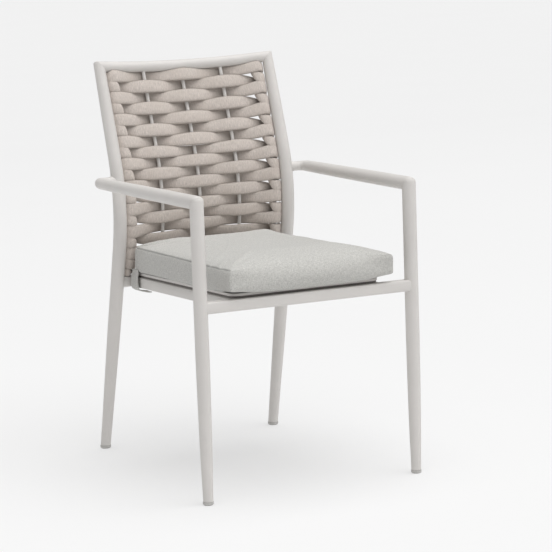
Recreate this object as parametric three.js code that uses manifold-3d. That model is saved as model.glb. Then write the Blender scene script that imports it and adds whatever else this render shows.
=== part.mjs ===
// Outdoor dining armchair: a powder-coated aluminium tube frame, a back of one padded strap woven
// round five rods, and a loose seat cushion held by two ties.
// Millimetres. X is the width, the chair faces -Y, and Z is up from the floor.
// Lengths along Y are taken from the front legs. At the end the origin goes under the chair's middle.

import * as THREE from 'three';
import Module from 'manifold-3d';
import { mergeVertices } from 'three/addons/utils/BufferGeometryUtils.js';

const wasm = await Module();
wasm.setup();

// Clearances
const jointGap = 0.3;              // between pieces that are welded or rest on each other
const mergeDistance = 0.001;       // points this close are one

// Front legs
const legX = 245;                  // leg axis from the middle of the chair
const legRadius = 14.6;
const legSides = 16;
// Share of the height to the arm, and share of the full radius there
const frontLegShares = [[0, 0.72], [0.05, 0.76], [0.12, 0.84], [0.2, 0.9], [0.32, 0.95], [0.48, 1], [1, 1]];

// Arms
const armHeight = 620.5;           // arm axis
const elbowX = 254;                // where the arm axis turns inwards
const elbowBend = 15.5;            // radius of that turn
const armEndRadius = 10.6;
const armWeldRadius = 12.2;        // the end flares where it is welded to the rear leg
const armWeldLength = 5;
const armTaperShares = [0, 0.3, 0.6, 0.85];
const armBendShare = 0.55;         // of the way from the full radius to the end radius, at the turn
const elbowSteps = 6;
const cornerRounding = 11;         // radius of the outside of the corner of leg and arm
const cornerTurnSteps = 3;

// Rear legs, which run on up as the posts of the back
const rearFootY = 619.5;
const rearLegRadius = 15.1;
const lowerLean = THREE.MathUtils.degToRad(14.25);
const upperLean = THREE.MathUtils.degToRad(18);
const kinkHeight = 574.7;          // where the two straight runs would meet
const backBendRadius = 360;
const postX = 207;                 // post axis from the middle of the chair
const footSplay = 6.5;             // the feet stand this much further out
const topRailHeight = 868.2;       // axis of the top rail at the posts
const topRailRadius = 12.2;
// Share of the length to the top rail, and share of the full radius there
const rearLegShares = [
  [0, 0.755],
  [0.13, 0.835],
  [0.25, 0.93],
  [0.37, 1],
  [0.7, 0.98],
  [0.89, 0.9],
  [1, 0.81],
];
const rearLegLowerSteps = 5;
const rearLegBendSteps = 7;
const rearLegUpperSteps = 3;
const topCornerRounding = 5;

// Back: the top rail, the rods and the weave are bowed rearwards between the posts
const backBow = 27;
const topRailSteps = 10;
const rodRadius = 4;
const rodSides = 8;
const rodBendSteps = 10;
const innerRodX = 95;
const sideRodX = 177.5;
const rodPlaces = [-sideRodX, -innerRodX, 0, innerRodX, sideRodX];
const rodNames = ['side_left', 'left', 'middle', 'right', 'side_right'];

// Strap: rows go alternately in front of and behind the rods, with a full turn round each side rod
const rowCount = 18;
const firstRowDrop = 23;           // below the axis of the top rail
const lastRowRise = 15;            // above the top of the seat, along the back
const strapThickness = 8.5;
const strapRodGap = 0.7;
const strapWideShare = 1.19;       // of the row pitch, in front of a rod
const strapNarrowShare = 0.9;      // of the row pitch, behind a rod
const strapPinchedShare = 0.53;    // of the row pitch, behind a side rod
const strapBulge = 1.9;            // how fast a row widens from behind a rod to in front of it
// Corners of the section, as shares of half the width and half the thickness
const strapSectionShares = [
  [1, 0.4],
  [0.68, 1],
  [-0.68, 1],
  [-1, 0.4],
  [-1, -0.4],
  [-0.68, -1],
  [0.68, -1],
  [1, -0.4],
];
const spanSteps = 4;               // steps of a row from rod to rod
const turnSteps = 15;              // steps of the turn and a half round a side rod
const rowEndShiftShare = 0.36;     // of the row pitch: a row behind a side rod gives way to the turn below it
const rowEndBend = 1.5;            // and bends away this suddenly
// Widths at each quarter of the turn and a half, from behind the rod to in front of it
const turnWidthShares = [0.44, 0.56, 0.69, 0.38, 0.38, 0.57, 0.9];
const turnQuarters = 6;
const strapStartShare = 0.75;      // of a turn and a half, where the strap begins at the top left
const strapEndShare = 0.8;         // and where it ends at the bottom left

// Seat frame
const seatTop = 418;               // top of the rails at y = 0
const seatSlope = 0.0255;          // the seat falls towards the rear
const railHeight = 24;
const frontRailDepth = 26;
const sideRailWidth = 28;
const rearRailDepth = 24;
const rearRailSteps = 10;
const railRounding = 4;
const railCornerSteps = 2;

// Seat panel on its dark edging strip
const panelHalfWidth = 172;
const panelReveal = 3;             // the side rails stand this far out from under the panel
const sideRailX = panelHalfWidth + panelReveal - sideRailWidth / 2;
const panelFrontY = 1;
const panelRodGap = 3;             // between the panel's rear edge and the rods
const panelThickness = 5;
const panelCorner = 22;
const panelRearSteps = 8;
const cornerSteps = 6;
const edgingInset = 2;
const edgingWidth = 10;
const edgingThickness = 4;

// Seat cushion
const cushionFrontOverhang = 17;   // past each side of the panel
const cushionRearOverhang = 6;
const cushionFrontX = panelHalfWidth + cushionFrontOverhang;
const cushionRearX = panelHalfWidth + cushionRearOverhang;
const cushionFrontY = -25;
const cushionRearY = 490;
const cushionCorner = 5;
const cushionFrontHeight = 48;      // up to the top seam
const cushionRearHeight = 54;
const cushionCrown = 21;
const cornerLift = 9;              // the front corners curl up from the panel
const cornerLiftReach = 90;
const liftFadeShare = 0.6;         // of the lift is lost at the top seam
const cushionEdgeSteps = 10;
const cushionDome = 100;           // the crown rises over this distance from the edge
const cushionFrontRoll = 14;       // the cover rolls over the front edge in a rounder curve
// For each layer: its inset as a share of the dome's width, its height as a share of the side up to 1
// and of the crown above 1, and its share of the roll at the front edge
const cushionLayerShares = [
  [0.6, 0, 0],
  [0.12, 0, 0],
  [0.015, 0.04, 0.2],
  [0, 0.15, 0],
  [0, 0.75, 0.1],
  [0.02, 1, 0.5],
  [0.14, 1.55, 1],
  [0.42, 1.9, 0.85],
  [1, 2, 0],
];

// Ties of the cushion, one round each side rail
const tieWidth = 26;
const tieThickness = 2;
const tieSlack = 0.8;              // between the tie and the rail
const tieY = 483;
const tieLap = 7;                  // sewn to the side of the cushion over this height
const tieDrop = 6;                 // the loop hangs this far below the rail
const tieTail = 30;                // the free end lies inwards under the rail
const tieBendSteps = 3;

// Foot glides
const glideHeight = 7;
const glideOverhang = 0.7;         // the rim stands proud of the tube
const glideRounding = 2.5;
const glideSides = 16;

const paint = { color: 0xcfccc8, roughness: 0.5, metalness: 0.1 };
const strapCloth = { color: 0xc3b9b0, roughness: 0.9, metalness: 0 };
const cushionCloth = { color: 0xbab8b3, roughness: 0.95, metalness: 0 };
const tieCloth = { color: 0xb3b2ac, roughness: 0.95, metalness: 0 };
const darkRubber = { color: 0x35332f, roughness: 0.8, metalness: 0 };
const glidePlastic = { color: 0xb9b6b2, roughness: 0.6, metalness: 0 };

const sideNames = [[-1, 'left'], [1, 'right']];
const up = new THREE.Vector3(0, 0, 1);
const across = new THREE.Vector3(1, 0, 0);

const chair = new THREE.Group();
chair.name = 'woven_back_armchair';

function addPiece(name, geometry, look) {
  geometry.computeVertexNormals();
  const mesh = new THREE.Mesh(geometry, new THREE.MeshStandardMaterial(look));
  mesh.name = name;
  chair.add(mesh);
}

// Solids from rings of points

function signedVolume(geometry) {
  const place = geometry.attributes.position;
  const corners = [new THREE.Vector3(), new THREE.Vector3(), new THREE.Vector3()];
  let volume = 0;
  for (let i = 0; i < geometry.index.count; i += 3) {
    corners.forEach((corner, k) => corner.fromBufferAttribute(place, geometry.index.getX(i + k)));
    volume += corners[0].dot(corners[1].cross(corners[2]));
  }
  return volume;
}

// Joins rings with the same number of points, one after another, and closes both ends
function skin(rings) {
  const count = rings[0].length;
  const last = (rings.length - 1) * count;
  const index = [];
  for (let start = 0; start < last; start += count) {
    for (let i = 0; i < count; i += 1) {
      const next = (i + 1) % count;
      index.push(start + i, start + next, start + count + next);
      index.push(start + i, start + count + next, start + count + i);
    }
  }
  for (let i = 1; i < count - 1; i += 1) {
    index.push(0, i + 1, i);
    index.push(last, last + i, last + i + 1);
  }
  const geometry = new THREE.BufferGeometry();
  geometry.setFromPoints(rings.flat());
  geometry.setIndex(index);
  if (signedVolume(geometry) < 0) {
    geometry.setIndex(index.reverse());
  }
  return geometry;
}

function toManifold(geometry) {
  const bare = geometry.clone();
  bare.deleteAttribute('normal');
  bare.deleteAttribute('uv');
  const merged = mergeVertices(bare, mergeDistance);
  const vertProperties = Float32Array.from(merged.attributes.position.array);
  const triVerts = Uint32Array.from(merged.index.array);
  return new wasm.Manifold(new wasm.Mesh({ numProp: 3, vertProperties, triVerts }));
}

function cutBy(geometry, cutters) {
  let solid = toManifold(geometry);
  cutters.forEach((cutter) => {
    solid = solid.subtract(toManifold(cutter));
  });
  const mesh = solid.getMesh();
  const result = new THREE.BufferGeometry();
  result.setAttribute('position', new THREE.BufferAttribute(mesh.vertProperties, 3));
  result.setIndex(new THREE.BufferAttribute(mesh.triVerts, 1));
  return result;
}

// The value of a list of [share, value] pairs at a share
function valueAt(pairs, share) {
  const next = pairs.findIndex((pair) => pair[0] >= share);
  if (next <= 0) {
    return pairs[0][1];
  }
  const [fromShare, fromValue] = pairs[next - 1];
  const [toShare, toValue] = pairs[next];
  return THREE.MathUtils.mapLinear(share, fromShare, toShare, fromValue, toValue);
}

function roundRing(centre, along, side, radius, sides) {
  const other = new THREE.Vector3().crossVectors(along, side).normalize();
  const ring = [];
  for (let i = 0; i < sides; i += 1) {
    const angle = ((i + 0.5) / sides) * 2 * Math.PI;
    const point = centre.clone().addScaledVector(side, radius * Math.cos(angle));
    ring.push(point.addScaledVector(other, radius * Math.sin(angle)));
  }
  return ring;
}

// Moves a ring's points along a tube until they lie at one height
function levelRing(ring, along, height) {
  return ring.map((point) => point.clone().addScaledVector(along, (height - point.z) / along.z));
}

// The last rings of a round tube that ends at a mitred corner, where the next tube takes over.
// The outside of the corner is ground round.
function cornerRings(corner, along, next, side, radius, rounding) {
  const outward = next.clone().addScaledVector(along, -next.dot(along)).normalize().negate();
  const halfTurn = along.angleTo(next) / 2;
  const steep = Math.tan(halfTurn);
  const reach = radius - rounding;
  const centre = corner.clone().addScaledVector(along, -jointGap / 2 / Math.cos(halfTurn));
  const ring = roundRing(centre, along, side, radius, legSides);
  const rings = [];
  for (let i = 0; i <= cornerTurnSteps; i += 1) {
    const share = i / cornerTurnSteps;
    rings.push(ring.map((point) => {
      const out = point.clone().sub(centre).dot(outward);
      const beyond = Math.max(0, out - reach);
      const kept = out - beyond + beyond * Math.cos(halfTurn * share);
      const rise = (out - beyond) * steep + beyond * Math.sin(halfTurn * share);
      const back = beyond > 0 ? 0 : jointGap * (1 - share);
      return point.clone().addScaledVector(outward, kept - out).addScaledVector(along, rise - back);
    }));
  }
  return rings;
}

// Corner rings in the order and sense of a tube that starts at the corner
function fromCorner(rings) {
  return rings.reverse().map((ring) => ring.slice().reverse());
}

// A bar's ring: a rectangle with rounded corners, square to X
function barRing(x, y, z, depth, height, grow) {
  const ring = [];
  const halfDepth = depth / 2 - railRounding;
  const halfHeight = height / 2 - railRounding;
  const round = railRounding + grow;
  [[1, 1], [-1, 1], [-1, -1], [1, -1]].forEach(([dy, dz], quarter) => {
    for (let i = 0; i <= railCornerSteps; i += 1) {
      const angle = ((quarter + i / railCornerSteps) * Math.PI) / 2;
      const pointY = y + dy * halfDepth + round * Math.cos(angle);
      ring.push(new THREE.Vector3(x, pointY, z + dz * halfHeight + round * Math.sin(angle)));
    }
  });
  return ring;
}

// Everything on the seat frame falls towards the rear with the seat
function seatFall(geometry) {
  const place = geometry.attributes.position;
  for (let i = 0; i < place.count; i += 1) {
    place.setZ(i, place.getZ(i) - seatSlope * place.getY(i));
  }
  return geometry;
}

// The line of the back: length is measured along the rear leg from the floor

const bendTangent = backBendRadius * Math.tan((lowerLean + upperLean) / 2);
const bendStart = kinkHeight / Math.cos(lowerLean) - bendTangent;
const bendLength = backBendRadius * (lowerLean + upperLean);
const bendEnd = bendStart + bendLength;
const topLength = bendEnd - bendTangent + (topRailHeight - kinkHeight) / Math.cos(upperLean);

// The rows share the back between the top rail and the seat
const lastRowLength = seatTop / Math.cos(lowerLean) + lastRowRise;
const rowPitch = (topLength - firstRowDrop - lastRowLength) / (rowCount - 1);
const strapWide = rowPitch * strapWideShare;
const strapNarrow = rowPitch * strapNarrowShare;
const strapPinched = rowPitch * strapPinchedShare;
const rowEndShift = rowPitch * rowEndShiftShare;

// The middle of the rear rail lies on the line of the back
const backLeanSlope = Math.tan(lowerLean);
const rearRailY =
  (rearFootY - (seatTop - railHeight / 2) * backLeanSlope) / (1 - seatSlope * backLeanSlope);

function backLine(length) {
  const lower = Math.min(length, bendStart);
  const bent = THREE.MathUtils.clamp(length - bendStart, 0, bendLength);
  const upper = Math.max(length - bendEnd, 0);
  const lean = lowerLean - bent / backBendRadius;
  const bendY = backBendRadius * (Math.cos(lowerLean) - Math.cos(lean));
  const bendZ = backBendRadius * (Math.sin(lowerLean) - Math.sin(lean));
  const y = rearFootY - lower * Math.sin(lowerLean) + bendY + upper * Math.sin(upperLean);
  const z = lower * Math.cos(lowerLean) + bendZ + upper * Math.cos(upperLean);
  return { y, z, lean };
}

function backUp(length) {
  const { lean } = backLine(length);
  return new THREE.Vector3(0, -Math.sin(lean), Math.cos(lean));
}

function bowAt(x) {
  return backBow * (1 - (x / postX) ** 2);
}

// A place on the bowed back, with depth measured rearwards from the rods
function backPoint(x, length, depth) {
  const { y, z, lean } = backLine(length);
  const out = bowAt(x) + depth;
  return new THREE.Vector3(x, y + out * Math.cos(lean), z + out * Math.sin(lean));
}

// The depth of the rear legs at the arm's height, which is in their bend
function backYAtArm() {
  const start = backLine(bendStart);
  const lean = Math.asin(Math.sin(lowerLean) - (armHeight - start.z) / backBendRadius);
  return start.y + backBendRadius * (Math.cos(lowerLean) - Math.cos(lean));
}

// Legs

function frontLeg(side, grow) {
  const corner = new THREE.Vector3(side * legX, 0, armHeight);
  const radius = legRadius + grow;
  const bottom = glideHeight + jointGap;
  const top = armHeight - 2 * legRadius;
  const rings = frontLegShares.map(([heightShare, radiusShare]) => {
    const centre = new THREE.Vector3(corner.x, 0, THREE.MathUtils.lerp(bottom, top, heightShare));
    return roundRing(centre, up, across, legRadius * radiusShare + grow, legSides);
  });
  rings.push(...cornerRings(corner, up, armDirection(side), across, radius, cornerRounding));
  return skin(rings);
}

function armDirection(side) {
  return new THREE.Vector3(side * (elbowX - legX), backYAtArm(), 0).normalize();
}

function postSpread(length) {
  const seatLength = seatTop / Math.cos(lowerLean);
  return postX + footSplay * Math.max(0, 1 - length / seatLength);
}

function topRailDirection(side) {
  const slope = (2 * backBow) / postX;
  const lean = -upperLean;
  const inward = new THREE.Vector3(-side, slope * Math.cos(lean), slope * Math.sin(lean));
  return inward.normalize();
}

function rearLeg(side, grow) {
  const stations = [];
  for (let i = 0; i < rearLegLowerSteps; i += 1) {
    stations.push((bendStart * i) / rearLegLowerSteps);
  }
  for (let i = 0; i < rearLegBendSteps; i += 1) {
    stations.push(bendStart + (bendLength * i) / rearLegBendSteps);
  }
  for (let i = 0; i < rearLegUpperSteps; i += 1) {
    const run = topLength - 2 * topRailRadius - bendEnd;
    stations.push(bendEnd + (run * i) / (rearLegUpperSteps - 1));
  }
  const rings = stations.map((length) => {
    const line = backLine(length);
    const centre = new THREE.Vector3(side * postSpread(length), line.y, line.z);
    const radius = rearLegRadius * valueAt(rearLegShares, length / topLength);
    return roundRing(centre, backUp(length), across, radius + grow, legSides);
  });
  rings[0] = levelRing(rings[0], backUp(0), glideHeight + jointGap);
  const corner = backPoint(side * postX, topLength, 0);
  const corners = cornerRings(
    corner,
    backUp(topLength),
    topRailDirection(side),
    across,
    topRailRadius + grow,
    topCornerRounding,
  );
  rings.push(...corners);
  return skin(rings);
}

function glide(x, y, tubeRadius) {
  const rim = tubeRadius + glideOverhang;
  const profile = [
    new THREE.Vector2(0, 0),
    new THREE.Vector2(rim - glideRounding, 0),
    new THREE.Vector2(rim, glideRounding),
    new THREE.Vector2(rim, glideHeight),
    new THREE.Vector2(0, glideHeight),
  ];
  const geometry = new THREE.LatheGeometry(profile, glideSides);
  geometry.rotateX(Math.PI / 2);
  geometry.translate(x, y, 0);
  return geometry;
}

// Arms: straight back from the leg's corner, then a tight turn inwards to the rear leg

function arm(side) {
  const rearY = backYAtArm();
  const corner = new THREE.Vector3(side * legX, 0, armHeight);
  const forward = armDirection(side);
  const inward = new THREE.Vector3(-side, 0, 0);
  const turn = forward.angleTo(inward);
  const bendRun = elbowBend * Math.tan(turn / 2);
  const elbow = new THREE.Vector3(side * elbowX, rearY, armHeight);
  const bendFrom = elbow.clone().addScaledVector(forward, -bendRun);
  const bendRadius = THREE.MathUtils.lerp(legRadius, armEndRadius, armBendShare);

  const towardsLeg = forward.clone().negate();
  const down = up.clone().negate();
  const rings = fromCorner(cornerRings(corner, towardsLeg, down, up, legRadius, cornerRounding));
  const straightFrom = corner.clone().addScaledVector(forward, 2 * legRadius);
  armTaperShares.forEach((share) => {
    const centre = straightFrom.clone().lerp(bendFrom, share);
    const radius = THREE.MathUtils.lerp(legRadius, bendRadius, share ** 2);
    rings.push(roundRing(centre, forward, up, radius, legSides));
  });
  for (let i = 0; i <= elbowSteps; i += 1) {
    const share = i / elbowSteps;
    const angle = turn * share;
    const along = forward.clone().applyAxisAngle(up, side * angle);
    const toCentre = forward.clone().applyAxisAngle(up, (side * Math.PI) / 2);
    const spoke = toCentre.clone().negate().applyAxisAngle(up, side * angle);
    const centre = bendFrom.clone().addScaledVector(toCentre, elbowBend).addScaledVector(spoke, elbowBend);
    const radius = THREE.MathUtils.lerp(bendRadius, armEndRadius, share);
    rings.push(roundRing(centre, along, up, radius, legSides));
  }
  const weldX = postX + rearLegRadius;
  const weld = [
    [weldX + armWeldLength, armEndRadius],
    [weldX, armWeldRadius],
    [postX, armWeldRadius],
  ];
  weld.forEach(([x, radius]) => {
    rings.push(roundRing(new THREE.Vector3(side * x, rearY, armHeight), inward, up, radius, legSides));
  });
  return cutBy(skin(rings), [rearLeg(side, jointGap)]);
}

// Back frame

function topRail(grow) {
  const radius = topRailRadius + grow;
  const end = postX;
  const leftCorner = backPoint(-end, topLength, 0);
  const rightCorner = backPoint(end, topLength, 0);
  const down = backUp(topLength).negate();
  const side = backUp(topLength);
  const intoLeft = topRailDirection(-1).negate();
  const intoRight = topRailDirection(1).negate();
  const rings = fromCorner(cornerRings(leftCorner, intoLeft, down, side, radius, topCornerRounding));
  const reach = end - 2 * topRailRadius;
  for (let i = 0; i <= topRailSteps; i += 1) {
    const x = THREE.MathUtils.lerp(-reach, reach, i / topRailSteps);
    const slope = (-2 * backBow * x) / postX ** 2;
    const lean = -upperLean;
    const along = new THREE.Vector3(1, slope * Math.cos(lean), slope * Math.sin(lean)).normalize();
    rings.push(roundRing(backPoint(x, topLength, 0), along, side, radius, legSides));
  }
  rings.push(...cornerRings(rightCorner, intoRight, down, side, radius, topCornerRounding));
  return skin(rings);
}

function backRod(x) {
  const railMiddle = seatTop - railHeight / 2 - seatSlope * rearRailY;
  const lengths = [railMiddle / Math.cos(lowerLean)];
  for (let i = 0; i <= rodBendSteps; i += 1) {
    const length = bendStart + (bendLength * i) / rodBendSteps;
    if (length > lengths[0]) {
      lengths.push(length);
    }
  }
  lengths.push(topLength);
  const rings = lengths.map((length) => {
    return roundRing(backPoint(x, length, 0), backUp(length), across, rodRadius, rodSides);
  });
  return cutBy(skin(rings), [topRail(jointGap), rearRailBar(jointGap)]);
}

// Strap: its stations are places of its middle line, each with the width of the strap there

const strapDepth = rodRadius + strapRodGap + strapThickness / 2;

// The strap is squeezed to the room it has: beside the rails, and where the bend crowds the rows
function station(x, length, depth, fullWidth) {
  const behindRail = Math.max(0, Math.abs(depth) - (strapThickness / 2) * strapSectionShares[0][1]);
  const railClear = Math.sqrt(Math.max(0, (topRailRadius + strapRodGap) ** 2 - behindRail ** 2));
  const above = topLength - length - railClear;
  const below = backPoint(x, length, depth).z - strapRodGap - seatTop + seatSlope * rearRailY;
  const inBend = length > bendStart - rowPitch / 2 && length < bendEnd + rowPitch / 2;
  const crowding = inBend ? 1 - bowAt(x) / backBendRadius : 1;
  return { x, length, depth, width: Math.min(fullWidth * crowding, 2 * above, 2 * below) };
}

function rowLength(row) {
  return topLength - firstRowDrop - row * rowPitch;
}

// One row from rod to rod. Even-numbered rows start in front of the left side rod.
function strapRow(row) {
  const startsInFront = row % 2 === 0;
  const places = startsInFront ? rodPlaces : rodPlaces.slice().reverse();
  const stations = [];
  for (let span = 0; span < places.length - 1; span += 1) {
    for (let i = 0; i < spanSteps; i += 1) {
      if (span + i > 0) {
        const share = i / spanSteps;
        const x = THREE.MathUtils.lerp(places[span], places[span + 1], share);
        const phase = Math.cos(Math.PI * (span + share)) * (startsInFront ? 1 : -1);
        const endShare = Math.max(0, (2 * (Math.abs(x) - innerRodX)) / (sideRodX - innerRodX) - 1);
        const narrow = THREE.MathUtils.lerp(strapNarrow, strapPinched, Math.sqrt(endShare));
        const width = THREE.MathUtils.lerp(narrow, strapWide, ((1 + phase) / 2) ** strapBulge);
        const shift = startsInFront ? 0 : -Math.sign(x) * rowEndShift * endShare ** rowEndBend;
        stations.push(station(x, rowLength(row) + shift, -phase * strapDepth, width));
      }
    }
  }
  return stations;
}

// The turn and a half round a side rod, from behind it to in front of it, one row lower
function turnStation(side, length, share, sink) {
  const angle = share * 3 * Math.PI;
  const quarter = Math.min(Math.floor(share * turnQuarters), turnQuarters - 1);
  const within = (1 - Math.cos(Math.PI * (share * turnQuarters - quarter))) / 2;
  const widthShare = THREE.MathUtils.lerp(turnWidthShares[quarter], turnWidthShares[quarter + 1], within);
  const width = strapWide * widthShare;
  const arriving = rowEndShift * Math.max(0, 1 - 3 * share);
  const falling = rowPitch * Math.max(0, (3 * share - 1) / 2);
  const x = side * (sideRodX + strapDepth * Math.sin(angle));
  const depth = strapDepth * Math.cos(angle) + bowAt(sideRodX) - bowAt(x);
  return station(x, length + (arriving - falling) * sink, depth, width);
}

function strapTurn(side, row) {
  const stations = [];
  for (let i = 0; i <= turnSteps; i += 1) {
    const share = i / turnSteps;
    if (side < 0) {
      stations.push(turnStation(side, rowLength(row), share, 1));
    } else {
      stations.push(turnStation(side, rowLength(row + 1), 1 - share, -1));
    }
  }
  return stations;
}

function strapStations() {
  const stations = [];
  const first = Math.ceil(strapStartShare * turnSteps);
  for (let i = first; i <= turnSteps; i += 1) {
    stations.push(turnStation(-1, rowLength(0), i / turnSteps, 0));
  }
  for (let row = 0; row < rowCount - 1; row += 1) {
    stations.push(...strapRow(row));
    stations.push(...strapTurn(row % 2 === 0 ? 1 : -1, row));
  }
  stations.push(...strapRow(rowCount - 1));
  const last = Math.floor(strapEndShare * turnSteps);
  for (let i = 0; i <= last; i += 1) {
    stations.push(turnStation(-1, rowLength(rowCount - 1), i / turnSteps, 1));
  }
  return stations;
}

// A flat oval section, with its width up the back and its thickness square to the strap
function strapRing(here, before, after) {
  const centre = backPoint(here.x, here.length, here.depth);
  const from = backPoint(before.x, before.length, before.depth);
  const along = backPoint(after.x, after.length, after.depth).sub(from);
  const rise = backUp(here.length);
  const thick = new THREE.Vector3().crossVectors(along, rise).normalize();
  return strapSectionShares.map(([widthShare, thicknessShare]) => {
    const point = centre.clone().addScaledVector(rise, (widthShare * here.width) / 2);
    return point.addScaledVector(thick, (thicknessShare * strapThickness) / 2);
  });
}

function wovenStrap() {
  const stations = strapStations();
  const rings = stations.map((here, i) => {
    const before = stations[Math.max(i - 1, 0)];
    const after = stations[Math.min(i + 1, stations.length - 1)];
    return strapRing(here, before, after);
  });
  return skin(rings);
}

// Seat frame

function frontRail() {
  const end = legX - railRounding;
  const z = seatTop - railHeight / 2;
  const bar = skin([-end, end].map((x) => barRing(x, 0, z, frontRailDepth, railHeight, 0)));
  return cutBy(seatFall(bar), [frontLeg(-1, jointGap), frontLeg(1, jointGap)]);
}

function rearRailBar(grow) {
  const z = seatTop - railHeight / 2;
  const rings = [];
  for (let i = 0; i <= rearRailSteps; i += 1) {
    const x = THREE.MathUtils.lerp(-postX, postX, i / rearRailSteps);
    rings.push(barRing(x, rearRailY + bowAt(x), z, rearRailDepth, railHeight, grow));
  }
  return seatFall(skin(rings));
}

function rearRail() {
  return cutBy(rearRailBar(0), [rearLeg(-1, jointGap), rearLeg(1, jointGap)]);
}

function sideRail(side) {
  const from = frontRailDepth / 2 + jointGap;
  const to = rearRailY + bowAt(sideRailX);
  const z = seatTop - railHeight / 2;
  const rings = [from, to].map((y) => {
    const ring = barRing(0, 0, z, sideRailWidth, railHeight, 0);
    return ring.map((point) => new THREE.Vector3(side * sideRailX + point.y, y, point.z));
  });
  return cutBy(seatFall(skin(rings)), [rearRailBar(jointGap)]);
}

// Outline of the seat panel: round front corners, and a rear edge that follows the bow
function panelOutline(path, inset) {
  const half = panelHalfWidth - inset;
  const front = panelFrontY + inset;
  const rear = backLine(seatTop / Math.cos(lowerLean)).y - rodRadius - panelRodGap - inset;
  const round = panelCorner - inset;
  path.moveTo(-half + round, front);
  path.lineTo(half - round, front);
  path.absarc(half - round, front + round, round, -Math.PI / 2, 0, false);
  for (let i = 0; i <= panelRearSteps; i += 1) {
    const x = THREE.MathUtils.lerp(half, -half, i / panelRearSteps);
    path.lineTo(x, rear + bowAt(x));
  }
  path.absarc(-half + round, front + round, round, Math.PI, 1.5 * Math.PI, false);
  return path;
}

function raised(shape, bottom, thickness) {
  const geometry = new THREE.ExtrudeGeometry(shape, {
    depth: thickness,
    bevelEnabled: false,
    curveSegments: cornerSteps,
  });
  geometry.translate(0, 0, bottom);
  return seatFall(geometry);
}

const edgingBottom = seatTop + jointGap;
const panelBottom = edgingBottom + edgingThickness + jointGap;
const cushionBottom = panelBottom + panelThickness + jointGap;

function seatEdging() {
  const shape = panelOutline(new THREE.Shape(), edgingInset);
  shape.holes.push(panelOutline(new THREE.Path(), edgingInset + edgingWidth));
  return raised(shape, edgingBottom, edgingThickness);
}

function seatPanel() {
  return raised(panelOutline(new THREE.Shape(), 0), panelBottom, panelThickness);
}

// Cushion: layers of one outline, from the flat underside over the side to the crown

function cushionRing(inset, roll, height) {
  const ring = [];
  const front = cushionFrontY + inset + roll;
  const rear = cushionRearY - inset;
  const corners = [[1, front, 1], [1, rear, -1], [-1, rear, -1], [-1, front, 1]];
  corners.forEach(([side, edge, inwards], corner) => {
    const centreX = side * (cushionHalfAt(edge) - inset - cushionCorner);
    const centreY = edge + inwards * cushionCorner;
    for (let i = 0; i <= cornerSteps; i += 1) {
      const angle = ((corner - 1 + i / cornerSteps) * Math.PI) / 2;
      const x = centreX + cushionCorner * Math.cos(angle);
      ring.push(new THREE.Vector3(x, centreY + cushionCorner * Math.sin(angle), height));
    }
    const following = corners[(corner + 1) % corners.length];
    const nextX = following[0] * (cushionHalfAt(following[1]) - inset - cushionCorner);
    const nextY = following[1] + following[2] * cushionCorner;
    const outAngle = (corner * Math.PI) / 2;
    const outX = cushionCorner * Math.cos(outAngle);
    const outY = cushionCorner * Math.sin(outAngle);
    for (let i = 1; i < cushionEdgeSteps; i += 1) {
      const share = i / cushionEdgeSteps;
      const x = THREE.MathUtils.lerp(centreX, nextX, share) + outX;
      ring.push(new THREE.Vector3(x, THREE.MathUtils.lerp(centreY, nextY, share) + outY, height));
    }
  });
  return ring;
}

function liftCorners(point, share) {
  const toCorner = Math.hypot(Math.abs(point.x) - cushionFrontX, point.y - cushionFrontY);
  const near = Math.max(0, 1 - toCorner / cornerLiftReach);
  point.z += cornerLift * near ** 2 * share;
}

function seatCushion() {
  const rings = cushionLayerShares.map(([insetShare, heightShare, rollShare]) => {
    const sideShare = Math.min(heightShare, 1);
    const crown = Math.max(heightShare - 1, 0) * cushionCrown;
    const ring = cushionRing(insetShare * cushionDome, rollShare * cushionFrontRoll, cushionBottom + crown);
    const liftShare = heightShare > 1 ? 0 : 1 - heightShare * liftFadeShare;
    ring.forEach((point) => {
      const rearShare = THREE.MathUtils.inverseLerp(cushionFrontY, cushionRearY, point.y);
      point.z += sideShare * THREE.MathUtils.lerp(cushionFrontHeight, cushionRearHeight, rearShare);
      liftCorners(point, liftShare);
    });
    return ring;
  });
  return seatFall(skin(rings));
}

function cushionHalfAt(y) {
  return THREE.MathUtils.mapLinear(y, cushionFrontY, cushionRearY, cushionFrontX, cushionRearX);
}

// A tie: from the side of the cushion down past the side rail, round under it, and inwards
function cushionTie(side) {
  const half = tieThickness / 2;
  const outer = sideRailX + sideRailWidth / 2 + tieSlack + half;
  const sewn = cushionHalfAt(tieY) + jointGap + half;
  const low = seatTop - railHeight - tieDrop;
  const bendX = outer - tieDrop;
  const bendZ = low + tieDrop;
  const path = [
    [sewn, cushionBottom + tieLap, 0],
    [sewn, cushionBottom + tieSlack, 0],
    [outer, seatTop - tieSlack, 0],
    [outer, bendZ, 0],
  ];
  for (let i = 1; i <= tieBendSteps; i += 1) {
    const angle = ((i / tieBendSteps) * Math.PI) / 2;
    path.push([bendX + tieDrop * Math.cos(angle), bendZ - tieDrop * Math.sin(angle), angle]);
  }
  path.push([bendX - tieTail, low, Math.PI / 2]);
  const rings = path.map(([x, z, angle]) => {
    const outwards = new THREE.Vector3(side * Math.cos(angle), 0, -Math.sin(angle));
    const corners = [[-1, 1], [1, 1], [1, -1], [-1, -1]];
    return corners.map(([alongY, outer]) => {
      const edge = new THREE.Vector3(side * x, tieY + (alongY * tieWidth) / 2, z);
      return edge.addScaledVector(outwards, outer * half);
    });
  });
  return seatFall(skin(rings));
}

const frontFootRadius = legRadius * frontLegShares[0][1];
const rearFootRadius = rearLegRadius * rearLegShares[0][1];
const rearGlideY = backLine(glideHeight).y;

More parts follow.
